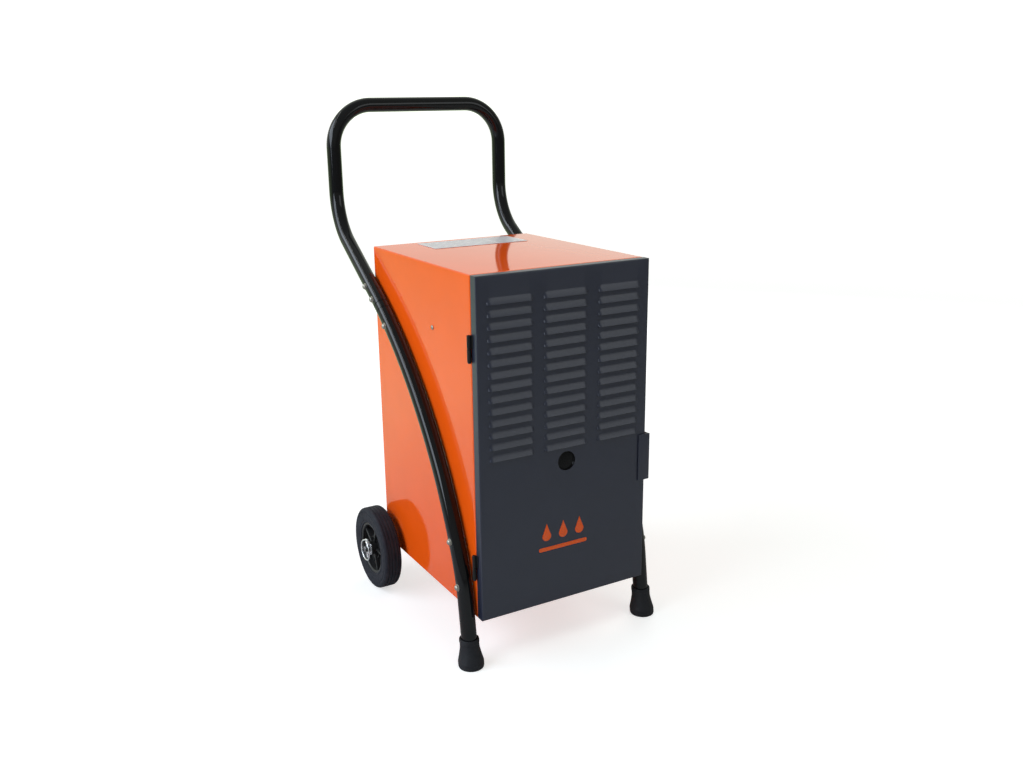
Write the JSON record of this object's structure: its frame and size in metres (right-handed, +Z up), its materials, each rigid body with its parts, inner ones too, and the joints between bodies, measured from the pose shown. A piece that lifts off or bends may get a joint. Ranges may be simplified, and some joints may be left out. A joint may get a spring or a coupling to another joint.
{
  "type": "commercial dehumidifier",
  "caption": "Upright condensation dehumidifier: steel cabinet with a louvered hinged door, on a bent tube frame with a push handle, rubber feet and rubber-tyred wheels.",
  "frame": {"origin": "on the ground, under the middle of the machine's bounding box", "axes": "+Z up, +Y towards the rear, where the handle and wheels are, +X to the right as seen from the front"},
  "size_m": [0.462, 0.5777, 0.9625],
  "materials": {
    "black_gloss_paint": "gloss",
    "zinc_steel": "zinc plated",
    "black_rubber": "matte",
    "tyre_rubber": "matte",
    "black_plastic": "satin",
    "bright_steel": "bright",
    "axle_steel": "turned",
    "orange_gloss_paint": "gloss powder coat",
    "anthracite_paint": "satin powder coat",
    "smoked_lens": "smoked",
    "filter_foam": "open foam",
    "black_steel": "satin",
    "silver_label": "printed foil",
    "galvanised_steel": "galvanised",
    "fin_aluminium": "thin fins",
    "fan_plastic": "moulded",
    "motor_steel": "pressed",
    "compressor_black": "semi-gloss",
    "copper_pipe": "copper tube",
    "grey_plastic": "moulded",
    "tank_plastic": "natural moulded",
    "float_plastic": "moulded",
    "switch_red": "gloss",
    "knob_plastic": "satin"
  },
  "bodies": {
    "machine": {"axle": "axle_steel", "axle_washer_left": "bright_steel", "axle_washer_right": "bright_steel", "base_tray": "orange_gloss_paint", "bay_divider": "galvanised_steel", "cabinet_cover": "orange_gloss_paint", "compressor": "compressor_black", "condenser_coil": "fin_aluminium", "control_panel": "black_plastic", "cord_inlet": "black_plastic", "door_magnet": "black_plastic", "drip_tray": "grey_plastic", "evaporator_coil": "fin_aluminium", "fan_motor": "motor_steel", "fan_shroud": "galvanised_steel", "foot_left": "black_rubber", "foot_right": "black_rubber", "frame_bolt_left_lower": "zinc_steel", "frame_bolt_left_middle": "zinc_steel", "frame_bolt_left_upper": "zinc_steel", "frame_bolt_right_lower": "zinc_steel", "frame_bolt_right_middle": "zinc_steel", "frame_bolt_right_upper": "zinc_steel", "frame_tube_left": "black_gloss_paint", "frame_tube_right": "black_gloss_paint", "handle_bar": "black_gloss_paint", "handle_bolt_left_lower": "zinc_steel", "handle_bolt_left_upper": "zinc_steel", "handle_bolt_right_lower": "zinc_steel", "handle_bolt_right_upper": "zinc_steel", "hinge_lower_cabinet": "black_steel", "hinge_lower_pin": "zinc_steel", "hinge_upper_cabinet": "black_steel", "hinge_upper_pin": "zinc_steel", "linch_pin_left": "bright_steel", "linch_pin_right": "bright_steel", "panel_screw": "zinc_steel", "rating_label": "silver_label", "rear_panel": "orange_gloss_paint", "refrigerant_pipe": "copper_pipe", "tube_joint_left": "black_gloss_paint", "tube_joint_right": "black_gloss_paint"},
    "door": {"front_door": "anthracite_paint", "door_pull": "anthracite_paint", "sight_window": "smoked_lens", "air_filter": "filter_foam", "hinge_upper_door": "black_steel", "hinge_lower_door": "black_steel"},
    "wheel_left": {"wheel_hub_left": "black_plastic", "wheel_tyre_left": "tyre_rubber"},
    "wheel_right": {"wheel_hub_right": "black_plastic", "wheel_tyre_right": "tyre_rubber"},
    "fan": {"fan_rotor": "fan_plastic"},
    "tank": {"water_tank": "tank_plastic"},
    "float": {"float_arm": "float_plastic"},
    "switch": {"power_switch": "switch_red"},
    "knob": {"hygrostat_knob": "knob_plastic"},
    "ring_left": {"linch_ring_left": "bright_steel"},
    "ring_right": {"linch_ring_right": "bright_steel"}
  },
  "joints": [
    {"name": "door_hinge", "type": "hinge", "parent": "machine", "child": "door", "pos_m": [-0.1742, -0.26466, 0.389], "axis": [0, 0, -1], "range_deg": [0, 85]},
    {"name": "tank_slide", "type": "slide", "parent": "machine", "child": "tank", "axis": [0, -1, 0], "range_m": [0, 0.164]},
    {"name": "float_pivot", "type": "hinge", "parent": "tank", "child": "float", "pos_m": [0.11, -0.07916, 0.255], "axis": [-1, 0, 0], "range_deg": [0, 22]},
    {"name": "wheel_left_spin", "type": "hinge", "parent": "machine", "child": "wheel_left", "pos_m": [-0.201, 0.11034, 0.0825], "axis": [1, 0, 0], "continuous": true},
    {"name": "wheel_right_spin", "type": "hinge", "parent": "machine", "child": "wheel_right", "pos_m": [0.201, 0.11034, 0.0825], "axis": [1, 0, 0], "continuous": true},
    {"name": "fan_spin", "type": "hinge", "parent": "machine", "child": "fan", "pos_m": [0, -0.08666, 0.507], "axis": [0, 1, 0], "continuous": true},
    {"name": "switch_rocker", "type": "hinge", "parent": "machine", "child": "switch", "pos_m": [-0.08, 0.12984, 0.63], "axis": [0, 0, 1], "range_deg": [0, 16]},
    {"name": "hygrostat_turn", "type": "hinge", "parent": "machine", "child": "knob", "pos_m": [-0.01, 0.13374, 0.63], "axis": [0, -1, 0], "range_deg": [0, 270]},
    {"name": "ring_left_flip", "type": "hinge", "parent": "machine", "child": "ring_left", "pos_m": [-0.2242, 0.11034, 0.1005], "axis": [0, 1, 0], "range_deg": [0, 130]},
    {"name": "ring_right_flip", "type": "hinge", "parent": "machine", "child": "ring_right", "pos_m": [0.2242, 0.11034, 0.1005], "axis": [0, -1, 0], "range_deg": [0, 130]}
  ],
  "couplings": [
    {"joint": "tank_slide", "follows": "door_hinge", "m_per_rad": 0.11}
  ]
}
